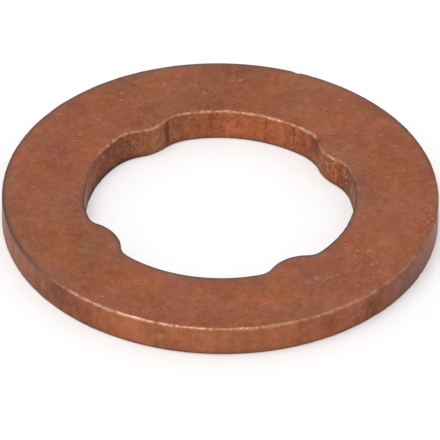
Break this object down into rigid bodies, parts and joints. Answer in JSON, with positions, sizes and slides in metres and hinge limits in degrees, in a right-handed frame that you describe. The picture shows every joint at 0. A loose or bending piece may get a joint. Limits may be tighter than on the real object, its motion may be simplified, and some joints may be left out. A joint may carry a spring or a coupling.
{
  "type": "injector seal ring",
  "caption": "Flat round copper sealing washer for a fuel injector's seat, with small rounded lobes round its bore that hold it on the nozzle.",
  "frame": {"origin": "centre of the lower sealing face, on the ring's axis", "axes": "+Z is the ring's axis, from the lower sealing face to the upper one; one of the lobes in the bore points along +X and one along +Y"},
  "size_m": [0.02, 0.02, 0.0015],
  "materials": {
    "copper": "dull oxidised copper, as punched and annealed"
  },
  "bodies": {
    "root": {"seal_ring": "copper"}
  },
  "joints": []
}
